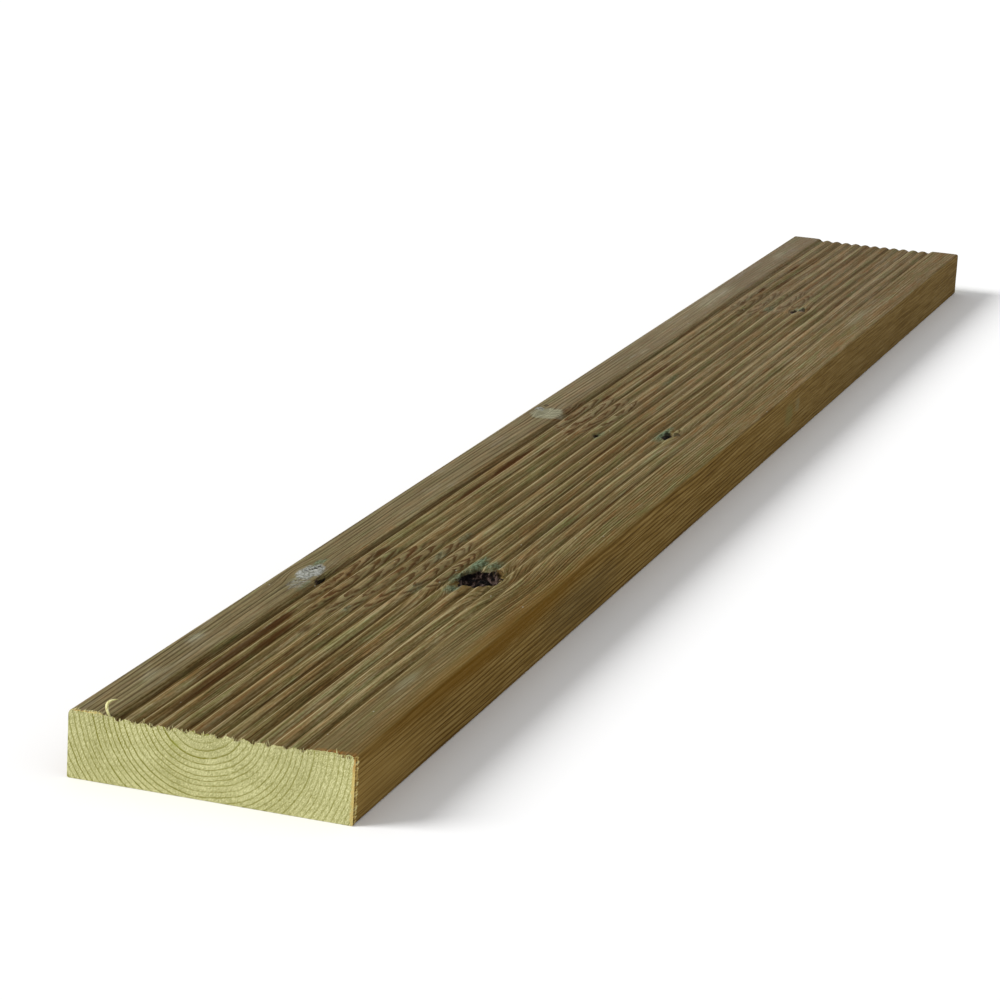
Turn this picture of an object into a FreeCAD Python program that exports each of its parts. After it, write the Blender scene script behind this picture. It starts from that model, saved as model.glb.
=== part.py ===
import FreeCAD, Part
import math
import os

# Reeded decking board: one length of softwood, planed all round, reeded on top, sawn square.
# Millimetres. X runs along the board, Y across it and Z up.
# The origin is the middle of the underside, which lies on the joists.

# Stock size
board_length = 1200.0
board_width = 120.0
board_thickness = 28.0

# Long edges
top_arris_radius = 1.5      # eased edges of the face that is walked on
bottom_arris_radius = 0.8   # nearly sharp edges against the joists

# Reeded field, centred on the width, with a smooth margin left at each side
groove_count = 12
groove_pitch = 6.95
groove_depth = 1.6          # below the margins
reed_drop = 0.5             # how far the reeds' tops lie below the margins
reed_top_width = 3.0        # flat top of a reed, rounded away into the reed's crown
groove_floor_width = 0.75   # flat floor of a groove, all of it rounded away into a hollow
margin_edge_setback = 0.8   # rounding where a margin meets its outermost groove

# Sides of the outline shorter than this are left out, where two arcs meet end to end
smallest_side = 0.001


def groove_corners(index):
    """The four corners of one groove, going towards +Y, each as y, z and its setback."""
    middle = groove_pitch * (index - (groove_count - 1) / 2.0)
    half_floor = groove_floor_width / 2.0
    floor_height = board_thickness - groove_depth
    flank_height = groove_depth - reed_drop
    flank_run = (groove_pitch - reed_top_width - groove_floor_width) / 2.0
    flank_length = math.hypot(flank_run, flank_height)
    reed = (half_floor + flank_run, board_thickness - reed_drop,
            min(reed_top_width / 2.0, flank_length - half_floor))
    margin = (half_floor + flank_run * groove_depth / flank_height, board_thickness,
              margin_edge_setback)
    right = margin if index == 0 else reed
    left = margin if index == groove_count - 1 else reed
    return [
        (middle - right[0], right[1], right[2]),
        (middle - half_floor, floor_height, half_floor),
        (middle + half_floor, floor_height, half_floor),
        (middle + left[0], left[1], left[2]),
    ]


def section_corners():
    """The board's cross-section as sharp corners, from the underside round over the top."""
    half_width = board_width / 2.0
    corners = [
        (half_width, 0.0, bottom_arris_radius),
        (-half_width, 0.0, bottom_arris_radius),
        (-half_width, board_thickness, top_arris_radius),
    ]
    for index in range(groove_count):
        corners += groove_corners(index)
    corners.append((half_width, board_thickness, top_arris_radius))
    return corners


def rounded_outline(corners, x):
    """Closed wire in the plane at x: straight sides, and an arc tangent to both at each corner.

    The setback of a corner is the length of each side that its arc takes up.
    """
    points = [FreeCAD.Vector(x, y, z) for y, z, setback in corners]
    arcs = []
    for index, (y, z, setback) in enumerate(corners):
        corner = points[index]
        back = (points[index - 1] - corner).normalize()
        ahead = (points[(index + 1) % len(points)] - corner).normalize()
        half_angle = back.getAngle(ahead) / 2.0
        inwards = (back + ahead).normalize()
        to_arc = setback / math.cos(half_angle) - setback * math.tan(half_angle)
        arcs.append((corner + back * setback, corner + inwards * to_arc, corner + ahead * setback))
    edges = []
    for index, (start, middle, end) in enumerate(arcs):
        edges.append(Part.Arc(start, middle, end).toShape())
        next_start = arcs[(index + 1) % len(arcs)][0]
        if end.distanceToPoint(next_start) > smallest_side:
            edges.append(Part.LineSegment(end, next_start).toShape())
    return Part.Wire(edges)


def decking_board():
    """The section pushed along the board, with the two halves of each crown and hollow joined."""
    section = Part.Face(rounded_outline(section_corners(), -board_length / 2.0))
    return section.extrude(FreeCAD.Vector(board_length, 0.0, 0.0)).removeSplitter()


board = decking_board()
print("solids", len(board.Solids), "valid", board.isValid(), "faces", len(board.Faces))
print("volume in litres", round(board.Volume / 1e6, 4), "box", board.BoundBox)

os.makedirs("parts", exist_ok=True)
board.exportStep("parts/decking_board.step")
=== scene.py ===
# %% [markdown]
# A decking board is one length of softwood, planed on its four long sides. A moulding head then
# cuts reeds along the top, which drain the rain and give grip, and pressure treatment turns the
# wood green-brown. Everything seen here is that one piece of wood, so the lesson is about one
# refined mesh, the torn fibres at its sawn end, and two wood finishes.
#
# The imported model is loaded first, because its box and its place are fixed. All sizes below are
# real ones. MM turns millimetres into Blender's metres.

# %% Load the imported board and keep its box
import math
import random

import bmesh
import bpy
from mathutils import Matrix, Vector, noise


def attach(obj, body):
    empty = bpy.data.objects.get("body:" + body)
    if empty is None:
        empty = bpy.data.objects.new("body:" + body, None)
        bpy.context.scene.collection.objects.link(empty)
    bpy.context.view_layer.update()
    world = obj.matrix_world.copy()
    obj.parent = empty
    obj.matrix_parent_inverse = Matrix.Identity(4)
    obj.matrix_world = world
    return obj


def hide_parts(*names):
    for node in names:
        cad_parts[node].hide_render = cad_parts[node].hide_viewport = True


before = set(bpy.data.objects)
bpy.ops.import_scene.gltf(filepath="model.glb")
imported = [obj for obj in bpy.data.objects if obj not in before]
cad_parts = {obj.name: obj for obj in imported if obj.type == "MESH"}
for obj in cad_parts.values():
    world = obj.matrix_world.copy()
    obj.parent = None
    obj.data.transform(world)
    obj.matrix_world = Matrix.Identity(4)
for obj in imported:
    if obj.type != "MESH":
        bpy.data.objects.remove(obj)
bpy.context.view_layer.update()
MM = 0.001
board_length = 1200.0
board_width = 120.0
board_thickness = 28.0
half_width = board_width / 2
near_end = -board_length / 2

# %% [markdown]
# The photograph was taken with a long lens, from a little above the board and slightly to its
# right, with the camera tipped by some three degrees. A camera looks along its own -Z, so its
# three axes go into a matrix as right, up and backwards. Nothing here changes the board.

# %% Camera
camera_data = bpy.data.cameras.new("camera")
camera_data.lens = 120.30
camera_data.sensor_width = 36.0
camera = bpy.data.objects.new("camera", camera_data)
forward = Vector((0.92118, 0.29275, -0.25637)).normalized()
right = Vector((0.31654, -0.94692, 0.05611)).normalized()
up = right.cross(forward).normalized()
camera.matrix_world = Matrix((right, up, -forward)).transposed().to_4x4()
camera.location = (-1.72727, -0.46944, 0.44967)
bpy.context.scene.collection.objects.link(camera)
bpy.context.scene.camera = camera
print("camera at", [round(c, 3) for c in camera.location])

# %% [markdown]
# Shader trees are long when they are written node by node. A small class wraps a socket, so
# that an expression such as 1 - mask * 0.5 adds its Math nodes by itself. Every other node
# comes from one method, which sets the node up first and then fills or links its inputs.


# %% A signal that takes part in arithmetic
class Signal:
    """What comes out of a socket. Arithmetic on it adds Math nodes to the finish."""

    def __init__(self, finish, socket):
        self.finish = finish
        self.socket = socket

    def math(self, operation, *others):
        """A Math node with this signal as its first value."""
        values = dict(enumerate((self,) + others))
        return self.finish.node("ShaderNodeMath", {"operation": operation}, values)

    def after(self, operation, other):
        """A Math node with this signal as its second value."""
        return self.finish.node("ShaderNodeMath", {"operation": operation}, {0: other, 1: self})

    def __add__(self, other):
        return self.math("ADD", other)

    def __sub__(self, other):
        return self.math("SUBTRACT", other)

    def __mul__(self, other):
        return self.math("MULTIPLY", other)

    def __truediv__(self, other):
        return self.math("DIVIDE", other)

    def __radd__(self, other):
        return self.after("ADD", other)

    def __rsub__(self, other):
        return self.after("SUBTRACT", other)

    def __rmul__(self, other):
        return self.after("MULTIPLY", other)

    def __rtruediv__(self, other):
        return self.after("DIVIDE", other)

    def rise(self, start, end):
        """0 before start and 1 after end, with a smooth change between them."""
        settings = {"interpolation_type": "SMOOTHSTEP"}
        return self.finish.node("ShaderNodeMapRange", settings, {0: self, 1: start, 2: end})


# %% A finish under construction
class Finish:
    """One material. Its place is in millimetres, with x measured from the board's near end."""

    def __init__(self, name):
        self.material = bpy.data.materials.new(name)
        self.material.use_nodes = True
        self.tree = self.material.node_tree
        self.shader = self.tree.nodes["Principled BSDF"]
        metres = self.node("ShaderNodeTexCoord", output="Object")
        scale = (1 / MM, 1 / MM, 1 / MM)
        self.place = self.vector("MULTIPLY_ADD", metres, {1: scale, 2: (-near_end, 0.0, 0.0)})

    def node(self, kind, settings=None, inputs=None, output=0):
        """Adds a node, sets it up, fills or links its inputs, and returns one of its outputs."""
        made = self.tree.nodes.new(kind)
        for name, value in (settings or {}).items():
            if name == "stops":
                elements = made.color_ramp.elements
                while len(elements) < len(value):
                    elements.new(0.5)
                for element, (position, colour) in zip(elements, value):
                    element.position = position
                    element.color = colour
            else:
                setattr(made, name, value)
        for key, value in (inputs or {}).items():
            if isinstance(value, Signal):
                self.tree.links.new(value.socket, made.inputs[key])
            else:
                made.inputs[key].default_value = value
        return Signal(self, made.outputs[output])

    def vector(self, operation, first, others=None, output=0):
        """A Vector Math node."""
        inputs = {0: first}
        inputs.update(others or {})
        return self.node("ShaderNodeVectorMath", {"operation": operation}, inputs, output)

    def split(self, place):
        """The three parts of a vector."""
        parts = self.node("ShaderNodeSeparateXYZ", inputs={0: place}).socket.node
        return [Signal(self, socket) for socket in parts.outputs]

    def join(self, x, y, z):
        return self.node("ShaderNodeCombineXYZ", inputs={0: x, 1: y, 2: z})

    def grain(self, place, size, detail=2.0, roughness=0.5, seed=0.0, output=0):
        """Noise from 0 to 1 whose lumps have the given size along x, y and z."""
        shrink = tuple(1.0 / length for length in size)
        spot = self.vector("MULTIPLY_ADD", place, {1: shrink, 2: (seed, seed * 1.7, seed * 2.3)})
        inputs = {"Vector": spot, "Scale": 1.0, "Detail": detail, "Roughness": roughness}
        return self.node("ShaderNodeTexNoise", inputs=inputs, output=output)

    def patch(self, place, middle, half, core=0.5):
        """1 in an oval patch and 0 outside it. Core is the share of its radius that is all 1."""
        shrink = tuple(1.0 / length for length in half)
        shift = tuple(-centre / length for centre, length in zip(middle, half))
        spot = self.vector("MULTIPLY_ADD", place, {1: shrink, 2: shift})
        return self.vector("LENGTH", spot, output=1).rise(1.0, core)

    def blend(self, mask, under, over, mode="MIX"):
        """One colour laid over another where the mask is 1."""
        settings = {"data_type": "RGBA", "blend_type": mode}
        return self.node("ShaderNodeMix", settings, {0: mask, 6: under, 7: over}, output=2)

    def ramp(self, value, stops):
        """A colour read from a row of stops, each a position and a colour."""
        return self.node("ShaderNodeValToRGB", {"stops": stops}, {0: value})

    def bump(self, height, distance):
        """Makes the surface look raised by a height, with the distance in millimetres."""
        inputs = {"Strength": 1.0, "Distance": distance * MM, "Height": height}
        self.feed("Normal", self.node("ShaderNodeBump", inputs=inputs))

    def feed(self, name, signal):
        self.tree.links.new(signal.socket, self.shader.inputs[name])

    def set(self, name, value):
        self.shader.inputs[name].default_value = value


# %% [markdown]
# A plain studio: a pale floor, an even pale sky and one large soft sun from the board's left.
# The two lights together give a level face about its written colour. The sun stands low on the
# left because the photograph shows each reed bright along its left edge and dark on its right
# flank. To the camera, the floor and the sky are white, and the floor keeps the board's shadow.

# %% Sky
world = bpy.data.worlds.new("studio")
bpy.context.scene.world = world
world.use_nodes = True
sky = world.node_tree
sky_paths = sky.nodes.new("ShaderNodeLightPath")
seen = sky.nodes.new("ShaderNodeMath")
seen.operation = "MAXIMUM"
sky.links.new(sky_paths.outputs["Is Camera Ray"], seen.inputs[0])
mirrored = sky.nodes.new("ShaderNodeMath")
mirrored.operation = "MAXIMUM"
sky.links.new(sky_paths.outputs["Is Glossy Ray"], mirrored.inputs[0])
sky.links.new(sky_paths.outputs["Is Transmission Ray"], mirrored.inputs[1])
sky.links.new(mirrored.outputs[0], seen.inputs[1])
sky_light = sky.nodes["Background"]
sky_light.inputs["Color"].default_value = (1.0, 1.0, 1.0, 1.0)
sky_light.inputs["Strength"].default_value = 0.52
sky_white = sky.nodes.new("ShaderNodeBackground")
sky_white.inputs["Strength"].default_value = 1.0
sky_white.inputs["Color"].default_value = (1.0, 1.0, 1.0, 1.0)
sky_mix = sky.nodes.new("ShaderNodeMixShader")
sky.links.new(seen.outputs[0], sky_mix.inputs[0])
sky.links.new(sky_light.outputs[0], sky_mix.inputs[1])
sky.links.new(sky_white.outputs[0], sky_mix.inputs[2])
sky.links.new(sky_mix.outputs[0], sky.nodes["World Output"].inputs["Surface"])
bpy.context.scene.view_settings.view_transform = "Standard"

# %% Sun
sun_data = bpy.data.lights.new("soft_sun", "SUN")
sun_data.angle = math.radians(28)
sun_height = math.radians(34)
sun_turn = math.radians(30)
to_sun = Vector((-math.sin(sun_turn) * math.cos(sun_height),
                 math.cos(sun_turn) * math.cos(sun_height), math.sin(sun_height)))
sun_share = 0.52
sun_data.energy = sun_share * math.pi / to_sun.z
sun = bpy.data.objects.new("soft_sun", sun_data)
sun.rotation_euler = to_sun.to_track_quat("Z", "Y").to_euler()
bpy.context.scene.collection.objects.link(sun)
print("sun strength", round(sun_data.energy, 2))

# %% Floor
floor_mesh = bpy.data.meshes.new("floor")
flat = bmesh.new()
bmesh.ops.create_grid(flat, x_segments=1, y_segments=1, size=14)
bmesh.ops.translate(flat, verts=flat.verts, vec=(0, 0, -0.1 * MM))
flat.to_mesh(floor_mesh)
flat.free()
floor = bpy.data.objects.new("floor", floor_mesh)
bpy.context.scene.collection.objects.link(floor)
paper = Finish("pale_floor")
paths = paper.node("ShaderNodeLightPath").socket.node.outputs
looked_at = Signal(paper, paths["Is Camera Ray"])
for kind in ("Is Glossy Ray", "Is Transmission Ray"):
    looked_at = looked_at.math("MAXIMUM", Signal(paper, paths[kind]))
paper.feed("Base Color", paper.blend(looked_at, (0.8, 0.8, 0.8, 1.0), (1.0, 1.0, 1.0, 1.0)))
paper.set("Roughness", 1.0)
paper.set("Specular IOR Level", 0.0)
floor_mesh.materials.append(paper.material)

# %% [markdown]
# The cross-section is drawn once as sharp corners, from the underside round over the top. The
# vertex bevel then rounds each group of corners. A reed's two corners take up the whole of its
# flat top, which makes one crown of them, and a groove's two corners make one hollow. The long
# straight sides are divided afterwards, so that the wood can be worn and swollen later on.

# %% The cross-section's sizes
groove_count = 12
groove_pitch = 6.95
groove_depth = 1.6           # below the margins
reed_drop = 0.5              # how far the reeds' tops lie below the margins
reed_top_width = 3.0
groove_floor_width = 0.75
flank_run = (groove_pitch - reed_top_width - groove_floor_width) / 2
flank_height = groove_depth - reed_drop
half_floor = groove_floor_width / 2
roundings = {                # the length of side that each rounding takes up, and its segments
    "bottom_arris": (0.8, 3),
    "top_arris": (1.5, 4),
    "crown": (min(reed_top_width / 2, math.hypot(flank_run, flank_height) - half_floor), 3),
    "hollow": (half_floor, 2),
    "margin_edge": (0.8, 3),
}


# %% The cross-section's corners
def groove_corners(index):
    """One groove's four corners, going towards +Y: y, z and the kind of rounding."""
    middle = groove_pitch * (index - (groove_count - 1) / 2)
    floor_height = board_thickness - groove_depth
    reed = (half_floor + flank_run, board_thickness - reed_drop, "crown")
    margin = (half_floor + flank_run * groove_depth / flank_height, board_thickness, "margin_edge")
    near_side = margin if index == 0 else reed
    far_side = margin if index == groove_count - 1 else reed
    return [(middle - near_side[0], near_side[1], near_side[2]),
            (middle - half_floor, floor_height, "hollow"),
            (middle + half_floor, floor_height, "hollow"),
            (middle + far_side[0], far_side[1], far_side[2])]


corners = [(half_width, 0.0, "bottom_arris"), (-half_width, 0.0, "bottom_arris"),
           (-half_width, board_thickness, "top_arris")]
for index in range(groove_count):
    corners += groove_corners(index)
corners.append((half_width, board_thickness, "top_arris"))
print(len(corners), "corners")

# %% Round the corners and divide the straight sides
wood = bmesh.new()
groups = {kind: [] for kind in roundings}
for y, z, kind in corners:
    groups[kind].append(wood.verts.new((near_end * MM, y * MM, z * MM)))
wood.faces.new(wood.verts)
for kind, (setback, segments) in roundings.items():
    bmesh.ops.bevel(wood, geom=groups[kind], affect="VERTICES", offset=setback * MM,
                    segments=segments, profile=0.5, material=-1, clamp_overlap=False)
bmesh.ops.remove_doubles(wood, verts=wood.verts, dist=0.09 * MM)


def wanted_step(edge):
    """How long the pieces of a straight side may be, in mm."""
    a, b = (vert.co / MM for vert in edge.verts)
    if a.z < 0.1 and b.z < 0.1:
        return 8.0
    if abs(a.y - b.y) < 0.1:
        return 3.3
    return 1.5 if (b - a).length > 3.0 else 1.1


for edge in list(wood.edges):
    cuts = math.ceil(edge.calc_length() / MM / wanted_step(edge) - 0.01) - 1
    if cuts > 0:
        bmesh.ops.subdivide_edges(wood, edges=[edge], cuts=cuts)
section_points = len(wood.verts)
print(section_points, "points round the section")

# %% [markdown]
# One extrusion makes the board, and one set of cuts divides it along its length. The cuts lie
# close together where the wood is uneven, at the sawn end and round each knot, and far apart
# on plain stretches, so that the points are spent where they show. Places along the board are
# given from the near end, in the way that they would be marked out with a tape.

# %% Where the cuts go
busy_places = [           # from, to, and the step between the cuts there, in mm
    (0.0, 4.0, 0.5),
    (196.0, 232.0, 1.0),
    (232.0, 276.0, 0.75),
    (538.0, 600.0, 1.3),
    (922.0, 948.0, 1.3),
    (1199.0, 1200.0, 0.5),
]
plain_step = 4.4
stations = [0.0]
while stations[-1] < board_length:
    here = stations[-1]
    step = plain_step
    for start, end, fine in busy_places:
        away = max(start - here, here - end, 0.0)
        step = min(step, fine + 0.10 * away)
    stations.append(here + step)
stretch = board_length / stations[-1]
stations = [station * stretch for station in stations]
print(len(stations), "stations")

# %% Extrude the section and cut it at the stations
grown = bmesh.ops.extrude_face_region(wood, geom=list(wood.faces))["geom"]
far_verts = [item for item in grown if isinstance(item, bmesh.types.BMVert)]
bmesh.ops.translate(wood, verts=far_verts, vec=(board_length * MM, 0, 0))
long_edges = [edge for edge in wood.edges if edge.calc_length() > board_length * MM / 2]
bmesh.ops.subdivide_edges(wood, edges=long_edges, cuts=len(stations) - 2)
for vert in wood.verts:
    part = (vert.co.x / MM - near_end) / board_length * (len(stations) - 1)
    vert.co.x = (near_end + stations[round(part)]) * MM
bmesh.ops.recalc_face_normals(wood, faces=wood.faces)
print(len(wood.faces), "faces")

# %% [markdown]
# Both ends are sawn square. Their faces are narrowed by a small step, which leaves a rim that
# can be torn without bending the flat of the saw cut. The rim and the flat share a finish of
# their own, because the saw shows fresh wood there.

# %% The two sawn ends
LONG_FACES, SAWN_ENDS = 0, 1
for face in wood.faces:
    face.smooth = True
ends = [face for face in wood.faces if len(face.verts) == section_points]
rims = bmesh.ops.inset_individual(wood, faces=ends, thickness=0.30 * MM, use_even_offset=True)
for face in ends + rims["faces"]:
    face.material_index = SAWN_ENDS
    face.smooth = False
flat_of_the_cut = {vert for face in ends for vert in face.verts}
print(len(ends), "ends", len(rims["faces"]), "rim faces")

# %% [markdown]
# No planed softwood is perfectly even. The cutter tears a little out of the reeds, the wood
# cups as it dries, and knots fall out or stand proud. Each of these is a small shift of the
# points along z, so one function adds them up for a place on the top face. Noise is smooth
# and repeatable, so every run gives the same board.

# %% Knots, pits and lumps in the top face
hollows = [          # from the near end, y, half length, half width and depth, all in mm
    (257.0, -21.9, 14.6, 10.0, 3.8),    # the loose knot's cavity
    (242.5, -15.0, 5.0, 3.2, 1.0),      # its torn left end
    (270.0, -19.5, 4.5, 3.6, 1.0),      # its torn right end
    (567.5, -23.0, 8.0, 3.6, 1.7),      # second whorl's knot
    (548.0, 11.0, 3.6, 1.9, 1.3),       # small knot beside it
    (938.0, -3.0, 5.0, 2.6, 1.4),       # third whorl's knot, in two parts
    (944.5, -7.2, 5.0, 2.2, 1.3),
    (217.0, 39.8, 6.4, 1.2, 1.5),       # hole in the first groove below the resin
    (224.5, 49.5, 1.5, 1.2, 0.6),       # small cracks along the resin patch
    (227.5, 48.8, 1.4, 1.6, 0.8),
    (230.5, 47.8, 1.4, 1.6, 0.8),
    (233.5, 46.6, 1.3, 1.2, 0.6),
]
swellings = [
    (275.5, -22.0, 4.0, 3.6, 0.6),      # torn lump at the right end of the knot
    (267.0, -25.0, 4.5, 3.0, 2.2),      # lumps left in the cavity
    (255.0, -24.5, 7.5, 3.2, 2.2),
    (248.0, -19.5, 4.0, 2.6, 1.0),
    (262.0, -17.5, 3.8, 2.2, 1.4),
    (576.0, -25.0, 6.5, 3.2, 0.8),      # bump beside the second knot
    (222.0, 47.0, 17.0, 6.5, 0.3),      # resin crust
]


def bowl(x, y, hollow):
    """The size at the middle of an oval and 0 outside it, with a rim that is a little uneven."""
    middle_x, middle_y, half_length, half_wide, size = hollow
    across = math.hypot((x - middle_x) / half_length, (y - middle_y) / half_wide)
    if across > 1.6:
        return 0.0
    across += 0.20 * noise.noise(Vector((x / 2.6, y / 2.2, middle_x)))
    part = min(max((1.12 - across) / 0.50, 0.0), 1.0)
    return size * part * part * (3 - 2 * part)


def top_relief(x, y, depth):
    """How far a point of the top face moves up, in mm. Depth is how low it lies in a groove."""
    shift = 0.10 * noise.noise(Vector((x / 70.0, y / 9.0, 3.0)))
    if abs(y) < 44.0:
        shift -= 0.30 * (1 - (y / 44.0) ** 2)
        shift += 0.10 * noise.noise(Vector((x / 26.0, y / 1.7, 8.0))) * (0.5 + depth)
        shift += 0.06 * noise.noise(Vector((x / 3.5, y / 0.8, 5.0)))
    for hollow in hollows:
        shift -= bowl(x, y, hollow)
    for swelling in swellings:
        shift += bowl(x, y, swelling)
    cavity = min(bowl(x, y, hollows[0]), 1.0)
    shift += cavity * 0.8 * noise.noise(Vector((x / 2.2, y / 1.6, 1.0)))
    resin = min(bowl(x, y, (222.0, 46.5, 20.0, 7.5, 1.0)), 1.0)
    shift += resin * 0.40 * noise.noise(Vector((x / 1.6, y / 1.3, 2.0)))
    return shift


# %% Move the points of the top face and the sides
lowest_move = 0.0
highest_move = 0.0
for vert in wood.verts:
    x = vert.co.x / MM - near_end
    y = vert.co.y / MM
    z = vert.co.z / MM
    if z > board_thickness - groove_depth - 0.1 and abs(y) < half_width - 1.0:
        shift = top_relief(x, y, (board_thickness - z) / groove_depth)
        vert.co.z += shift * MM
        lowest_move = min(lowest_move, shift)
        highest_move = max(highest_move, shift)
    elif z > 0.5 and abs(y) > half_width - 1.6:
        vert.co.y -= math.copysign(0.09 + 0.09 * noise.noise(Vector((x / 60.0, z / 7.0, y))), y) * MM
print("top face moved by", round(lowest_move, 2), "to", round(highest_move, 2), "mm")

# %% [markdown]
# The saw leaves the last fibres of the top face torn: the rim of the near end is ragged, a few
# slivers stand up along it, and one shaving has curled back over the left margin. The rim is
# moved point by point. The slivers are thin cones with a handful of faces each, because only
# their outline shows.

# %% Tear the rim of the near end
for vert in wood.verts:
    x = vert.co.x / MM - near_end
    y = vert.co.y / MM
    z = vert.co.z / MM
    if vert not in flat_of_the_cut and x < 0.05 and (z > 24.0 or y < -half_width + 0.3):
        tear = noise.noise(Vector((y / 0.7, z / 0.7, 4.0)))
        vert.co.x -= max(tear, -0.1) * 0.5 * MM
        lift = 0.85 * noise.noise(Vector((y / 0.9, 9.0, z / 2.0)))
        vert.co.z = max(z + lift, 0.0) * MM
board_mesh = bpy.data.meshes.new("board")
wood.to_mesh(board_mesh)
wood.free()
board_mesh.set_sharp_from_angle(angle=math.radians(50))
board = bpy.data.objects.new("board", board_mesh)
bpy.context.scene.collection.objects.link(board)
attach(board, "root")
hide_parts("decking_board")
print("triangles", sum(len(p.vertices) - 2 for p in board_mesh.polygons))

# %% A sliver of torn wood
rng = random.Random(7)
torn = bmesh.new()
one_sliver = bpy.data.meshes.new("one_sliver")


def sliver(foot, tip, bend, width, taper=0.1, cuts=3):
    """A thin flat fibre from foot to tip, bowed by bend at its middle. All are in mm."""
    foot, tip, bend = Vector(foot), Vector(tip), Vector(bend)
    rod = tip - foot
    one = bmesh.new()
    bmesh.ops.create_cone(one, cap_ends=True, segments=5, radius1=width / 2 * MM,
                          radius2=width / 2 * taper * MM, depth=rod.length * MM)
    lengthwise = [edge for edge in one.edges
                  if abs(edge.verts[0].co.z - edge.verts[1].co.z) > rod.length * MM / 2]
    bmesh.ops.subdivide_edges(one, edges=lengthwise, cuts=cuts)
    turn = rod.to_track_quat("Z", "Y").to_matrix()
    for vert in one.verts:
        part = vert.co.z / (rod.length * MM) + 0.5
        flat = Vector((vert.co.x, vert.co.y * 0.45, vert.co.z))
        vert.co = turn @ flat + (foot + tip) / 2 * MM + bend * (4 * part * (1 - part)) * MM
    one.to_mesh(one_sliver)
    one.free()
    torn.from_mesh(one_sliver)


# %% Slivers that stand up along the torn edge
standing = [         # from the left corner, height and width, in mm
    (11.8, 1.3, 0.55),
    (13.0, 0.8, 0.40),
    (17.4, 1.2, 0.50),
    (32.2, 1.3, 0.60),
    (84.0, 1.4, 0.50),
    (106.0, 0.8, 0.60),
    (108.2, 0.9, 0.50),
    (112.1, 2.1, 1.00),
    (44.0, 0.7, 0.40),
    (66.5, 0.7, 0.50),
]
for from_left, height, width in standing:
    y = half_width - from_left
    foot = (near_end + 0.35, y, board_thickness - 0.6)
    tip = (near_end - 0.1 + rng.uniform(-0.2, 0.5), y + rng.uniform(-0.4, 0.3), board_thickness + height)
    sliver(foot, tip, (rng.uniform(-0.15, 0.1), rng.uniform(-0.15, 0.15), 0), width)
for index in range(190):
    y = rng.uniform(-half_width + 0.6, half_width - 0.6)
    reach = rng.uniform(0.3, 1.3)
    level = board_thickness - (0.3 if abs(y) > 42 else rng.uniform(0.6, 1.5))
    foot = (near_end + 0.1, y, level - 0.8)
    tip = (near_end + rng.uniform(-0.2, 0.1), y + rng.uniform(-0.4, 0.4), level + reach * 0.7)
    sliver(foot, tip, (0, 0, 0.05), rng.uniform(0.4, 0.8), cuts=1)

# %% Fibres along the right edge, and the curled shaving on the left margin
for index in range(240):
    z = rng.uniform(0.4, board_thickness - 0.6)
    start = rng.uniform(0.0, 0.6)
    reach = rng.uniform(0.5, 1.6) + rng.random() ** 6 * 2.4
    foot = (near_end + start, -half_width + 0.14, z)
    tip = (near_end + start + reach * 0.8, -half_width - rng.uniform(0.02, 0.45),
           max(z + reach * rng.uniform(-0.60, 0.60), 0.2))
    sliver(foot, tip, (0, -0.10, 0), rng.uniform(0.10, 0.26), cuts=1)
for index in range(44):
    y = rng.uniform(46.0, half_width - 1.0)
    reach = rng.uniform(0.8, 3.6)
    foot = (near_end + rng.uniform(0.0, 1.0), y, board_thickness - 0.25)
    tip = (near_end + reach, y + rng.uniform(-0.8, 0.8), board_thickness + rng.uniform(0.0, 0.5))
    sliver(foot, tip, (0, 0, 0.15), rng.uniform(0.2, 0.45), cuts=1)
sliver((near_end + 0.4, 42.6, 27.8), (near_end + 4.0, 41.0, 33.8), (-0.7, 2.2, 1.4), 2.2, 0.7, 9)
bmesh.ops.recalc_face_normals(torn, faces=torn.faces)
for face in torn.faces:
    face.smooth = True
torn_mesh = bpy.data.meshes.new("torn_fibres")
torn.to_mesh(torn_mesh)
torn.free()
bpy.data.meshes.remove(one_sliver)
fibres = bpy.data.objects.new("torn_fibres", torn_mesh)
bpy.context.scene.collection.objects.link(fibres)
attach(fibres, "root")
print("fibre triangles", sum(len(p.vertices) - 2 for p in torn_mesh.polygons))

# %% [markdown]
# Wood is a solid with rings in it, so its finish is worked out in three dimensions and the cut
# faces show whatever they meet. The heart of this tree lies just above the board's middle: on
# the sawn end the rings are arcs round it, and on the long faces they are fine lines. The
# fibres pass round each knot as water passes round a stone.

# %% Fibres that pass round the knots
knots = [            # from the near end, y, half width, stretch along the board
    (252.0, -22.5, 10.5, 1.9),
    (567.0, -23.0, 5.0, 2.6),
    (941.0, -5.0, 4.0, 2.6),
    (548.0, 11.0, 2.5, 2.4),
    (222.0, 48.0, 4.2, 3.0),
    (578.0, 50.0, 2.5, 3.0),
]


def fibre_place(finish):
    """The place in the wood with its fibres laid straight again: x, y and z."""
    x, y, z = finish.split(finish.place)
    for knot_x, knot_y, half, long_ways in knots:
        along = (x - knot_x) / long_ways
        across = y - knot_y
        reach = (along * along + across * across).math("MAXIMUM", half * half)
        y = y - across * (half * half) / reach * z.rise(10.0, 24.0)
    sway = finish.grain(finish.place, (420.0, 90.0, 90.0), detail=1.0, seed=3.1) - 0.5
    return x, y + sway * 9.0 * x.rise(0.0, 150.0), z


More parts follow.
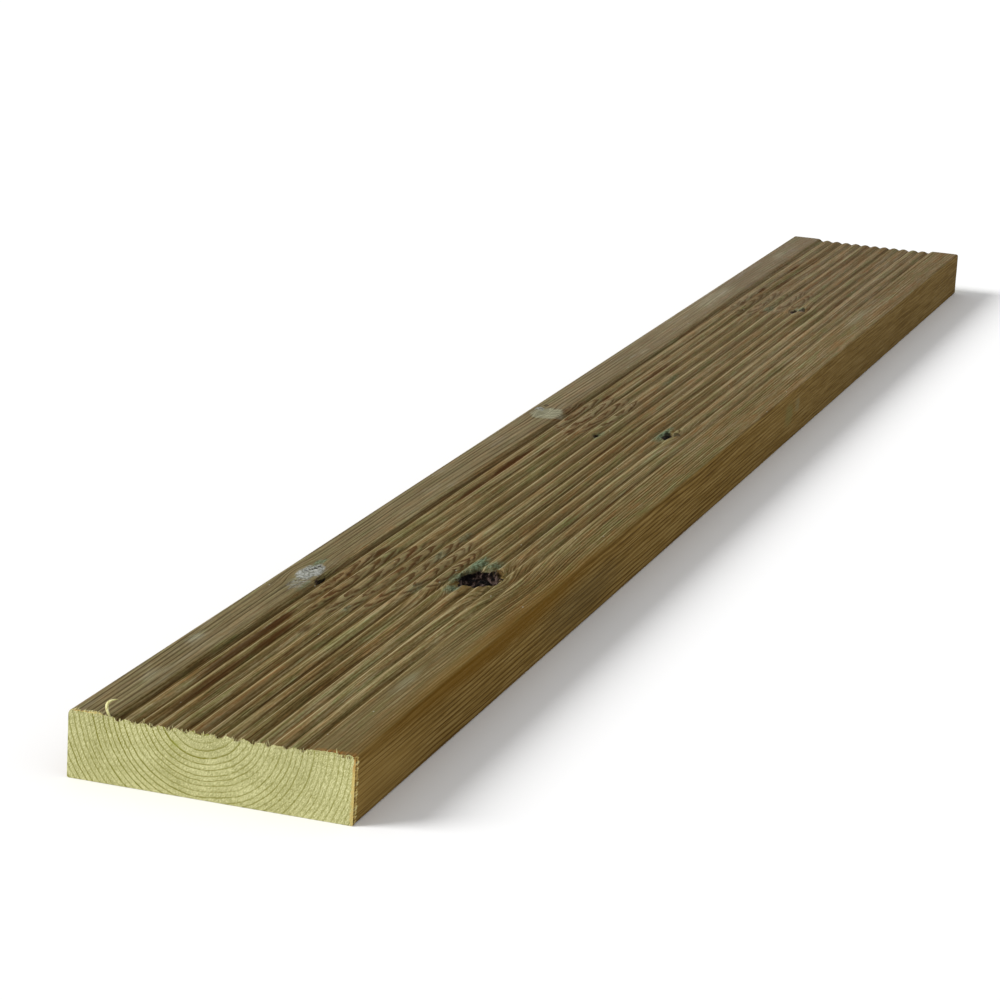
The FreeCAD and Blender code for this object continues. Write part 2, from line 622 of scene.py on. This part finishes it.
# %% Growth rings round the heart of the tree
heart_y, heart_z = 3.5, 35.0
right_sag = 0.13             # how fast the rings' middle sinks, going right from 8 mm past the heart
ring_count = 30              # a colour ramp holds 32 stops, and its two ends take the others
first_radius = 9.0
young_radius = 17.0          # inside it the tree was young and its rings are wide
young_width = 2.9
ring_width = 2.15
unevenness = 0.15            # how much wider or narrower than that one year's ring may be
last_radius = 80.0
years = random.Random(5)
ring_radii = [first_radius]
while len(ring_radii) < ring_count:
    width = young_width if ring_radii[-1] < young_radius else ring_width
    width *= years.uniform(1 - unevenness, 1 + unevenness)
    ring_radii.append(ring_radii[-1] + width)


def ring_number(finish, y, z, wobble):
    """How many rings lie between a place and the heart, rising evenly within each ring."""
    across = y - heart_y
    height = z - heart_z + (-8.0 - across).math("MAXIMUM", 0.0) * right_sag
    distance = (across * across + height * height).math("SQRT") + wobble
    count = len(ring_radii) + 1
    stops = [(0.0, (0.0, 0.0, 0.0, 1.0))]
    for index, radius in enumerate(ring_radii):
        level = (index + 1) / count
        stops.append((radius / last_radius, (level, level, level, 1.0)))
    stops.append((1.0, (1.0, 1.0, 1.0, 1.0)))
    return finish.ramp(distance / last_radius, stops) * count


def ring_strength(finish, rings, seed):
    """A number from 0.5 to 1 that is the same all along one ring."""
    settings = {"noise_dimensions": "1D"}
    own = finish.node("ShaderNodeTexWhiteNoise", settings, {"W": rings.math("FLOOR") + seed})
    return own * 0.5 + 0.5


print(len(ring_radii), "rings, the outermost with a radius of", round(ring_radii[-1], 1), "mm")

# %% [markdown]
# The treated faces start from the fibres: long thin streaks of noise in three widths, and fine
# dark lines a millimetre or two apart. The hard late wood of each ring darkens them. Under a
# whorl of knots the rings rise in a dome, and each round reed cuts that dome into a row of
# scallops, so there the rings are counted along the board as well.

# %% Treated wood: streaks and fine lines
treated = Finish("treated_softwood")
from_near, fibre_y, z = fibre_place(treated)
y = treated.split(treated.place)[1]
fibre = treated.join(from_near, fibre_y, z)
hair = treated.grain(fibre, (30.0, 0.55, 0.55), detail=2.0, roughness=0.65, seed=1.0)
thread = treated.grain(fibre, (120.0, 1.2, 1.2), detail=2.0, roughness=0.55, seed=2.0)
drift = treated.grain(fibre, (240.0, 7.0, 7.0), detail=2.0, seed=4.0)
pores = treated.grain(treated.place, (3.2, 0.6, 0.6), detail=1.0, seed=19.0)
streaks = hair * 0.42 + thread * 0.29 + drift * 0.15 + pores * 0.14
jitter = treated.grain(fibre, (260.0, 9.0, 9.0), detail=1.0, seed=12.0)
line_weight = treated.grain(fibre, (60.0, 1.6, 1.6), detail=1.0, seed=13.0)
wave = ((fibre_y + z) / 2.25 + jitter * 2.0).math("PINGPONG", 0.5)
close_wave = ((fibre_y + z) / 1.65 + jitter * 2.0).math("PINGPONG", 0.5)
close = fibre_y.rise(-40.0, -43.0) * from_near.rise(960.0, 700.0)
lines = wave.rise(0.30, 0.05) * (1 - close) + close_wave.rise(0.32, 0.06) * close
lines = lines * (line_weight.rise(0.30, 0.60) * 0.6 + 0.4)
lines = lines * (from_near.rise(1000.0, 450.0) * 0.5 + 0.5) * (y.math("ABSOLUTE").rise(40.0, 42.0) * 0.4 + 0.6)

# %% Treated wood: rings and scallops
wobble = treated.grain(fibre, (110.0, 9.0, 9.0), detail=2.0, seed=5.0) - 0.5
rings = ring_number(treated, fibre_y, z, wobble * 1.6)
phase = rings.math("FRACT")
late = phase.rise(0.45, 0.90) * phase.rise(1.0, 0.93) * ring_strength(treated, rings, 0.0) * 0.55
across = y / groove_pitch
reed = across.math("ROUND")
u = across - reed            # where a place lies on its reed, from -0.5 to 0.5
crown = u.math("ABSOLUTE").rise(0.47, 0.34)
tone = treated.node("ShaderNodeTexWhiteNoise", {"noise_dimensions": "1D"}, {"W": reed + 7.5})
smudge = treated.grain(treated.place, (10.0, 3.0, 3.0), detail=2.0, seed=18.0)
ridge_lean = 1.05            # how far a dome's ridge moves away for each mm to the right
whorls = [           # middle x and y, half length and width, ridge, steepness, start and strength
    (240.0, 14.0, 72.0, 30.0, 217.0, 1.00, 100.5, 1.00),
    (600.0, 25.0, 52.0, 20.0, 588.0, 0.90, 99.6, 1.00),
    (956.0, 16.0, 50.0, 24.0, 934.0, 1.10, 100.5, 0.70),
]
scallops = 0.0
domed = 0.0
for middle_x, middle_y, half_length, half_wide, ridge, steepness, start, strength in whorls:
    lean = (26.0 - y).math("MAXIMUM", 0.0) * ridge_lean
    part_x = (from_near - middle_x + 12.0 - lean) / half_length
    part_y = (y - middle_y) / half_wide
    inside = (1 - part_x * part_x - part_y * part_y).rise(0.0, 0.35)
    along = from_near - ridge - lean
    lower = (20 - y).math("MAXIMUM", 0.0)
    slope = (lower * lower * 0.0002 + 0.115) * steepness
    dome = slope * ((along * along + 64.0).math("SQRT") - 40.0) + (28 - z) * 3.0 + start
    dome_phase = (dome / 2.5 + wobble * 0.5 + tone * 0.6 + (smudge - 0.5) * 1.0).math("FRACT")
    arcs = dome_phase.rise(0.26, 0.72) * dome_phase.rise(1.0, 0.94) * inside.math("POWER", 1.2)
    scallops = arcs * crown * (smudge.rise(0.36, 0.50) * 0.6 + 0.4) * strength + scallops
    domed = inside * strength + domed
    late = late * (1 - inside)

# %% [markdown]
# Colour is laid on in layers, each a mask and a colour, from the broad to the small. First come
# the wood's own browns and the tints of the treatment. Then come the reeds: dirt and painted
# shade in the grooves, and a pale line along each crown's left shoulder, which is a painted highlight.

# %% Treated wood: browns
evenness = 1 - from_near.rise(180.0, 480.0) * 0.34
brown = treated.ramp((streaks - 0.5) * evenness + 0.5, [
    (0.40, (0.088, 0.060, 0.015, 1.0)),
    (0.47, (0.158, 0.118, 0.042, 1.0)),
    (0.53, (0.232, 0.183, 0.078, 1.0)),
    (0.60, (0.335, 0.280, 0.144, 1.0)),
])
brown = treated.blend(lines * 0.95, brown, (0.42, 0.34, 0.18, 1.0), "MULTIPLY")
brown = treated.blend(late, brown, (0.085, 0.048, 0.014, 1.0))
brown = treated.blend(domed * crown * 0.50, brown, (0.215, 0.168, 0.078, 1.0))
brown = treated.blend(scallops * 0.90, brown, (0.068, 0.034, 0.008, 1.0))
tints = [            # length and width of the tinted streaks, strength and seed
    (60.0, 6.0, 0.38, 6.0),
    (14.0, 1.3, 0.46, 16.0),
]
for length, width, strength, seed in tints:
    tint = treated.grain(treated.place, (length, width, width), detail=2.0, roughness=0.55, seed=seed)
    green_part = tint.rise(0.54, 0.68) * strength
    brown = treated.blend(green_part, brown, (0.80, 1.08, 0.88, 1.0), "MULTIPLY")
    red_part = tint.rise(0.46, 0.32) * strength
    brown = treated.blend(red_part, brown, (1.14, 0.84, 0.66, 1.0), "MULTIPLY")

# %% Treated wood: margins and reeds
top = board_thickness
margin = y.math("ABSOLUTE").rise(40.6, 41.8) * z.rise(20.0, 26.0)
reeds = (1 - y.math("ABSOLUTE").rise(40.6, 41.8)) * z.rise(20.0, 24.0)
weather = treated.grain(treated.place, (40.0, 5.0, 5.0), detail=3.0, roughness=0.6, seed=9.0)
on_left = y.rise(38.0, 44.0)
bleached = weather.rise(0.52, 0.76) * margin * (on_left * 0.24 + 0.10)
brown = treated.blend(margin, brown, (0.90, 0.88, 0.86, 1.0), "MULTIPLY")
brown = treated.blend(bleached, brown, (0.285, 0.255, 0.180, 1.0))
brown = treated.blend(on_left * margin * 0.30, brown, (0.265, 0.228, 0.140, 1.0))
left_lines = on_left * margin * wave.rise(0.30, 0.05) * line_weight.rise(0.34, 0.56)
brown = treated.blend(left_lines * from_near.rise(1000.0, 560.0) * 0.7, brown, (0.56, 0.50, 0.38, 1.0), "MULTIPLY")
smooth_start = margin * (1 - on_left) * from_near.rise(300.0, 60.0) * 0.42
brown = treated.blend(smooth_start, brown, (0.164, 0.124, 0.056, 1.0))
orange = treated.patch(treated.place, (180.0, -64.0, top), (340.0, 14.5, 30.0), 0.2)
brown = treated.blend(orange * 0.72, brown, (0.176, 0.098, 0.016, 1.0))
own = treated.node("ShaderNodeTexWhiteNoise", {"noise_dimensions": "1D"}, {"W": reed + 0.5})
brown = treated.blend(reeds * tone * drift.rise(0.66, 0.38), brown, (0.74, 0.70, 0.60, 1.0), "MULTIPLY")
brown = treated.blend(reeds, brown, (1.09, 1.09, 1.18, 1.0), "MULTIPLY")
broken = treated.grain(treated.place, (26.0, 3.0, 3.0), detail=2.0, seed=14.0)
crispness = from_near.rise(1150.0, 350.0) * 0.75 + 0.25
# A pale line along each crown's left shoulder, where the low sun from the left falls most squarely: a painted
# highlight that fades further along the board.
painted_shoulder_highlight = u.rise(0.24, 0.29) * u.rise(0.41, 0.36) * reeds * broken.rise(0.32, 0.55) * crispness
brown = treated.blend(painted_shoulder_highlight * 0.62, brown, (0.415, 0.350, 0.205, 1.0))
# The grooves on both sides of each crown are darkened, partly for dirt and partly as painted shade where the sun
# does not reach.
groove_dirt_and_shade = (u.math("ABSOLUTE") + (broken - 0.5) * 0.15).rise(0.34, 0.43) * (own * 0.50 + 0.36)
brown = treated.blend(groove_dirt_and_shade * reeds * crispness, brown, (0.46, 0.38, 0.22, 1.0), "MULTIPLY")
first_groove = y.rise(36.2, 37.6) * y.rise(40.8, 39.4) * from_near.rise(1100.0, 800.0)
brown = treated.blend(first_groove * 0.5, brown, (0.46, 0.40, 0.28, 1.0), "MULTIPLY")

# %% Treated wood: broad changes along the board
brown = treated.blend(from_near.rise(150.0, 900.0), brown, (1.02, 1.01, 1.18, 1.0), "MULTIPLY")
right_far = margin * (1 - on_left) * from_near.rise(480.0, 900.0)
brown = treated.blend(right_far, brown, (1.08, 1.08, 1.12, 1.0), "MULTIPLY")
brown = treated.blend(from_near.rise(860.0, 1020.0), brown, (0.90, 0.89, 0.94, 1.0), "MULTIPLY")
warm_margin = treated.patch(treated.place, (250.0, -52.0, board_thickness), (110.0, 14.0, 30.0), 0.3)
brown = treated.blend(warm_margin, brown, (0.84, 0.78, 0.66, 1.0), "MULTIPLY")

# %% [markdown]
# The photograph shows this very board's own marks, so each has its place: reddish streaks in
# the first reeds, the black cavity of the loose knot with green copper salts round it, a white
# crust of resin, and smaller knots. An oval patch marks each, and a little noise added to the
# place makes every patch ragged.

# %% Treated wood: a ragged place for the marks
shake = treated.grain(treated.place, (9.0, 1.8, 1.8), detail=3.0, roughness=0.6, seed=7.0, output=1)
shake = treated.vector("SUBTRACT", shake, {1: (0.5, 0.5, 0.5)})
ragged = treated.vector("MULTIPLY_ADD", shake, {1: (16.0, 4.5, 4.5), 2: treated.place})
small_shake = treated.vector("MULTIPLY_ADD", shake, {1: (7.0, 2.2, 2.2), 2: treated.place})

# %% Treated wood: reddish streaks
red_streaks = [      # middle x, y, half length, half width and strength
    (112.0, 33.0, 66.0, 2.3, 0.80),
    (150.0, 33.0, 24.0, 2.0, 0.85),
    (62.0, 26.2, 64.0, 2.2, 0.70),
    (128.0, 26.2, 38.0, 2.2, 0.85),
    (146.0, 19.0, 10.0, 1.5, 0.60),
    (112.0, 12.5, 10.0, 1.2, 0.50),
    (275.0, 32.5, 13.0, 1.8, 0.80),
    (266.0, 26.0, 18.0, 1.7, 0.55),
    (233.0, 32.6, 4.5, 1.6, 0.70),
    (402.0, 31.8, 36.0, 1.9, 0.80),
    (462.0, 31.8, 52.0, 2.2, 0.95),
    (497.0, 24.5, 16.0, 1.7, 0.75),
    (548.0, 24.5, 9.0, 1.7, 0.60),
    (321.0, 4.0, 7.0, 2.4, 0.55),
    (352.0, -22.5, 50.0, 1.4, 0.35),
    (636.0, 31.5, 12.0, 1.8, 0.85),
    (714.0, 24.5, 46.0, 1.9, 0.70),
    (728.0, 18.5, 18.0, 1.6, 0.60),
    (757.0, 31.0, 14.0, 1.7, 0.55),
    (912.0, 24.5, 16.0, 1.8, 0.60),
    (945.0, 32.0, 12.0, 1.6, 0.60),
    (996.0, 32.0, 14.0, 1.9, 0.80),
    (1022.0, 24.8, 30.0, 1.8, 0.65),
    (1084.0, 31.5, 22.0, 1.8, 0.70),
    (985.0, -23.0, 30.0, 1.6, 0.45),
]
for mark_x, mark_y, half_length, half_wide, strength in red_streaks:
    mark = treated.patch(small_shake, (mark_x, mark_y, top), (half_length, half_wide, 14.0), 0.35)
    brown = treated.blend(mark * strength, brown, (0.062, 0.024, 0.004, 1.0))

# %% Treated wood: the white resin and the pale patch of the second whorl
crystal = treated.grain(treated.place, (1.8, 1.0, 1.0), detail=4.0, roughness=0.7, seed=21.0)
white = treated.ramp(crystal, [
    (0.34, (0.062, 0.066, 0.053, 1.0)),
    (0.46, (0.232, 0.246, 0.222, 1.0)),
    (0.60, (0.450, 0.466, 0.440, 1.0)),
])
cream = treated.ramp(hair, [
    (0.36, (0.255, 0.250, 0.165, 1.0)),
    (0.62, (0.460, 0.455, 0.325, 1.0)),
])
bars = ((from_near + y * 0.6) / 2.6 + jitter * 2.0).math("PINGPONG", 0.5).rise(0.30, 0.10)
pale_patches = [     # middle x, y, half length, half width, strength, striping and colour
    (224.0, 47.2, 14.5, 6.4, 0.90, 0.25, white),
    (206.0, 46.0, 14.0, 5.6, 0.50, 0.85, white),
    (576.5, 48.0, 15.0, 10.5, 0.80, 0.20, cream),
    (585.0, 54.5, 5.0, 3.0, 0.75, 0.10, white),
    (110.0, 54.0, 12.0, 3.2, 0.45, 0.30, cream),
    (56.0, 50.0, 14.0, 4.0, 0.22, 0.10, cream),
    (95.0, -45.5, 28.0, 3.6, 0.20, 0.10, cream),
    (760.0, 46.0, 14.0, 3.0, 0.18, 0.10, cream),
    (945.0, 52.0, 62.0, 7.0, 0.26, 0.10, cream),
    (1120.0, 51.0, 22.0, 4.0, 0.26, 0.10, cream),
    (938.0, -46.0, 52.0, 5.0, 0.24, 0.10, cream),
]
for mark_x, mark_y, half_length, half_wide, strength, striping, colour in pale_patches:
    half = (half_length, half_wide, 14.0)
    mark = treated.patch(ragged, (mark_x, mark_y, top), half, strength * 0.75)
    brown = treated.blend(mark * strength * (1 - bars * striping), brown, colour)
bend = y - 42.0
ring_lines = ((from_near + bend * bend * 0.08) / 4.2).math("PINGPONG", 0.5).rise(0.34, 0.12)
second_patch = treated.patch(treated.place, (577.0, 49.0, top), (18.0, 11.0, 14.0), 0.6)
brown = treated.blend(ring_lines * second_patch * 0.7, brown, (0.44, 0.42, 0.33, 1.0), "MULTIPLY")

# %% Treated wood: copper green
fleck = treated.grain(treated.place, (3.6, 0.9, 0.9), detail=4.0, roughness=0.75, seed=22.0)
green = treated.ramp(fleck, [
    (0.40, (0.026, 0.040, 0.018, 1.0)),
    (0.50, (0.082, 0.127, 0.072, 1.0)),
    (0.62, (0.215, 0.297, 0.196, 1.0)),
])
green_patches = [    # middle x, y, half length, half width and strength
    (236.0, -16.4, 11.0, 4.2, 0.60),
    (256.0, -11.8, 18.0, 2.6, 0.70),
    (277.0, -14.5, 18.0, 4.8, 0.82),
    (278.0, -22.0, 13.0, 5.4, 0.60),
    (240.0, 49.6, 9.0, 2.8, 0.65),
    (202.0, 42.0, 12.0, 2.6, 0.35),
    (182.0, 13.5, 8.0, 2.0, 0.40),
    (283.0, 6.0, 16.0, 3.4, 0.32),
    (228.0, -2.0, 12.0, 3.4, 0.25),
    (318.0, 6.0, 12.0, 3.0, 0.35),
    (567.0, -20.6, 26.0, 4.0, 0.80),
    (549.0, 9.5, 13.0, 3.2, 0.50),
    (700.0, 12.0, 22.0, 2.4, 0.30),
    (935.0, 12.0, 14.0, 4.0, 0.40),
    (946.0, -5.5, 12.0, 3.4, 0.60),
]
for mark_x, mark_y, half_length, half_wide, strength in green_patches:
    mark = treated.patch(ragged, (mark_x, mark_y, top), (half_length, half_wide, 14.0), 0.30)
    brown = treated.blend(mark * strength, brown, green)

# %% Treated wood: knots and holes
crumbs = treated.grain(treated.place, (5.5, 2.6, 2.6), detail=4.0, roughness=0.6, seed=23.0)
bark = treated.ramp(crumbs, [
    (0.48, (0.002, 0.001, 0.001, 1.0)),
    (0.54, (0.016, 0.009, 0.006, 1.0)),
    (0.66, (0.110, 0.076, 0.064, 1.0)),
])
dark_knots = [       # middle x, y, half length, half width and strength
    (257.0, -21.9, 15.6, 10.2, 1.00),
    (567.5, -22.4, 8.0, 2.6, 0.84),
    (569.0, -27.0, 4.4, 3.2, 0.62),
    (594.0, 54.0, 2.6, 1.5, 0.60),
    (548.0, 11.0, 3.4, 1.9, 0.80),
    (938.0, -3.2, 6.6, 2.4, 0.84),
    (943.5, -7.4, 6.6, 2.3, 0.80),
    (217.0, 39.8, 6.8, 1.0, 0.92),
    (224.5, 49.5, 1.2, 1.3, 0.75),
    (227.5, 48.8, 1.1, 1.8, 0.85),
    (230.5, 47.8, 1.1, 1.8, 0.85),
    (233.5, 46.6, 1.0, 1.3, 0.75),
]
for mark_x, mark_y, half_length, half_wide, strength in dark_knots:
    mark = treated.patch(small_shake, (mark_x, mark_y, top), (half_length, half_wide, 20.0), 0.75)
    brown = treated.blend(mark * strength, brown, bark)
brown = treated.blend(z.rise(25.8, 25.2), brown, bark)

# %% Treated wood: white specks, which are painted glints
cells = treated.vector("MULTIPLY", treated.place, {1: (1 / 11, 1 / 4.5, 1 / 4.5)})
cell = treated.node("ShaderNodeTexVoronoi", inputs={"Vector": cells, "Scale": 1.0})
cell_colour = Signal(treated, cell.socket.node.outputs["Color"])
glint_specks = cell.rise(0.085, 0.045) * treated.split(cell_colour)[0].rise(0.78, 0.80) * z.rise(20.0, 26.0)
# Small white specks: painted highlights, laid on as colour.
brown = treated.blend(glint_specks * 0.7, brown, (0.420, 0.400, 0.320, 1.0))

# %% [markdown]
# The two sides and the underside were planed smooth and have no grooves to hold dirt or painted
# shade, so they are warmer and more even than the top. The treatment has left an orange band along
# the right edge, and the last few millimetres beside the saw cut are bare torn fibres.

# %% Treated wood: the sides and the underside
side = y.math("ABSOLUTE").rise(58.6, 59.8)
plain = (side + z.rise(1.0, 0.2)).math("MINIMUM", 1.0)
side_rise = z + wobble * 3.0 * from_near.rise(0.0, 120.0)
side_fibre = treated.join(from_near, y * 0.5, side_rise)
side_lines = treated.grain(side_fibre, (70.0, 0.8, 0.55), detail=2.0, roughness=0.6, seed=31.0)
clouds = treated.grain(treated.place, (90.0, 14.0, 9.0), detail=3.0, roughness=0.6, seed=32.0)
side_streaks = hair * 0.45 + side_lines * 0.33 + clouds * 0.22
warm = treated.ramp(side_streaks + z.rise(28.0, 0.0) * 0.030 - 0.005, [
    (0.40, (0.150, 0.084, 0.015, 1.0)),
    (0.50, (0.248, 0.153, 0.038, 1.0)),
    (0.60, (0.350, 0.236, 0.078, 1.0)),
])
side_wave = (side_rise / 2.33 + jitter * 1.4).math("PINGPONG", 0.5)
grooved = side_wave.rise(0.30, 0.05) * (line_weight.rise(0.30, 0.60) * 0.4 + 0.6)
grooved = grooved * from_near.rise(1000.0, 450.0).math("MAXIMUM", 0.35)
warm = treated.blend(grooved * 0.95, warm, (0.44, 0.37, 0.20, 1.0), "MULTIPLY")
warm = treated.blend(from_near.rise(480.0, 960.0), warm, (0.80, 0.81, 0.88, 1.0), "MULTIPLY")
side_patches = [     # middle x and z, half length and half height, strength and colour
    (170.0, 26.0, 200.0, 10.0, 0.78, (0.165, 0.080, 0.005, 1.0)),
    (295.0, 12.0, 90.0, 16.0, 0.38, (0.105, 0.078, 0.032, 1.0)),
    (697.0, 16.0, 15.0, 9.0, 0.55, (0.200, 0.185, 0.065, 1.0)),
    (717.0, 18.0, 8.0, 6.0, 0.45, (0.260, 0.235, 0.120, 1.0)),
    (30.0, 10.0, 80.0, 17.0, 0.50, (0.330, 0.210, 0.058, 1.0)),
]
for mark_x, mark_z, half_length, half_high, strength, colour in side_patches:
    mark = treated.patch(ragged, (mark_x, -half_width, mark_z), (half_length, 6.0, half_high), 0.2)
    warm = treated.blend(mark * strength, warm, colour)
# The colour darkens and turns bluer from the right side to the left side, which the sun falls on: painted shade
# against the sun's light there.
warm = treated.blend(y.rise(-50.0, 50.0), warm, (0.66, 0.70, 0.82, 1.0), "MULTIPLY")
brown = treated.blend(plain, brown, warm)

# %% Treated wood: bare fibres beside the saw cut
frayed = treated.grain(treated.place, (7.0, 1.2, 0.8), detail=3.0, roughness=0.65, seed=15.0)
on_right = y.rise(-59.2, -59.8)
left_corner = y.rise(44.0, 49.0) * y.rise(59.9, 58.0)
reach = frayed * (on_right * 5.5 + left_corner * 9.0 + 2.2) - 1.5 + on_right * 0.6 - left_corner * 2.4
bare = (from_near - reach).rise(0.7, -0.3)
straw_colour = treated.ramp(frayed, [
    (0.38, (0.480, 0.280, 0.065, 1.0)),
    (0.50, (0.660, 0.480, 0.150, 1.0)),
    (0.62, (0.780, 0.690, 0.310, 1.0)),
])
brown = treated.blend(bare, brown, straw_colour)
rusty_corner = y.rise(-40.0, -50.0) * y.rise(-59.6, -59.0) * from_near.rise(5.0, 1.0)
brown = treated.blend(rusty_corner * frayed.rise(0.48, 0.56), brown, (0.270, 0.125, 0.030, 1.0))

# %% Treated wood: shader
treated.feed("Base Color", brown)
treated.set("Specular IOR Level", 0.03)
treated.feed("Roughness", 0.72 + hair * 0.18)
treated.bump(hair * 0.40 + thread * 0.20 - lines * 0.28 - scallops * 0.12, 0.40)
board_mesh.materials.append(treated.material)
print(len(treated.tree.nodes), "nodes")

# %% [markdown]
# The sawn ends show fresh wood, pale yellow-green from the treatment, with the rings as olive
# arcs, fine pores, and the slanting marks of the saw.

# %% Sawn end: rings
sawn = Finish("sawn_end")
end_x, end_y, end_z = sawn.split(sawn.place)
end_wobble = sawn.grain(sawn.place, (300.0, 7.0, 7.0), detail=2.0, seed=5.0) - 0.5
fuzz = sawn.grain(sawn.place, (300.0, 0.8, 0.8), detail=2.0, seed=6.0) - 0.5
end_rings = ring_number(sawn, end_y, end_z, end_wobble * 0.8 + fuzz * 0.35)
end_phase = end_rings.math("FRACT")
dash = sawn.grain(sawn.place, (300.0, 2.2, 2.2), detail=2.0, seed=9.0).rise(0.30, 0.50) * 0.4 + 0.6
end_late = end_phase.rise(0.64, 0.90) * end_phase.rise(1.0, 0.96) * ring_strength(sawn, end_rings, 3.0)
end_late = end_late * dash * (end_y.rise(-15.0, 30.0) * 0.30 + 0.80)
broad = sawn.patch(sawn.place, (0.0, 14.5, 21.0), (50.0, 3.6, 2.6), 0.2)

# %% Sawn end: saw marks, pores and colour
slant = sawn.node("ShaderNodeVectorRotate", {"rotation_type": "X_AXIS"},
                  {"Vector": sawn.place, "Angle": math.radians(58)})
marks = sawn.grain(slant, (300.0, 1.7, 0.42), detail=2.0, roughness=0.6, seed=2.0)
pores = sawn.grain(sawn.place, (300.0, 0.45, 0.45), detail=1.0, roughness=0.7, seed=3.0)
clouds = sawn.grain(sawn.place, (300.0, 16.0, 9.0), detail=2.0, seed=8.0)
frayed_end = sawn.grain(sawn.place, (300.0, 1.5, 2.0), detail=2.0, seed=10.0)
pale = sawn.ramp(marks * 0.42 + pores * 0.43 + clouds * 0.15, [
    (0.41, (0.320, 0.308, 0.115, 1.0)),
    (0.50, (0.505, 0.490, 0.226, 1.0)),
    (0.59, (0.690, 0.675, 0.360, 1.0)),
])
pale = sawn.blend(end_late, pale, (0.185, 0.180, 0.012, 1.0))
pale = sawn.blend(broad * 0.50, pale, (0.270, 0.285, 0.055, 1.0))
gold_width = end_z.rise(28.0, 4.0) * 0.4 + frayed_end * 2.6 - 0.20
golden_edge = (end_y + 60.2 - gold_width).rise(0.35, -0.25)
golden_mask = golden_edge * (pores.rise(0.35, 0.60) * 0.5 + 0.45)
pale = sawn.blend(golden_mask, pale, (0.600, 0.445, 0.150, 1.0))
pale = sawn.blend(golden_edge * end_z.rise(19.0, 26.0) * 0.7, pale, (0.400, 0.180, 0.040, 1.0))
sawn.feed("Base Color", pale)
sawn.set("Roughness", 0.85)
sawn.set("Specular IOR Level", 0.08)
sawn.bump(pores * 0.5 + marks * 0.5 - end_late * 0.3, 0.14)
board_mesh.materials.append(sawn.material)

# %% Torn fibres
straw = Finish("torn_fibre")
straw_tone = straw.grain(straw.place, (3.0, 0.6, 1.2), detail=2.0, seed=1.0)
golden = straw.ramp(straw_tone, [
    (0.36, (0.150, 0.078, 0.016, 1.0)),
    (0.50, (0.225, 0.128, 0.030, 1.0)),
    (0.64, (0.370, 0.235, 0.066, 1.0)),
])
creamy = straw.ramp(straw_tone, [
    (0.36, (0.430, 0.390, 0.150, 1.0)),
    (0.50, (0.610, 0.580, 0.270, 1.0)),
    (0.64, (0.760, 0.730, 0.420, 1.0)),
])
at_the_right = straw.split(straw.place)[1].rise(-50.0, -57.0)
straw.feed("Base Color", straw.blend(at_the_right, creamy, golden))
straw.set("Roughness", 0.8)
straw.set("Specular IOR Level", 0.08)
torn_mesh.materials.append(straw.material)
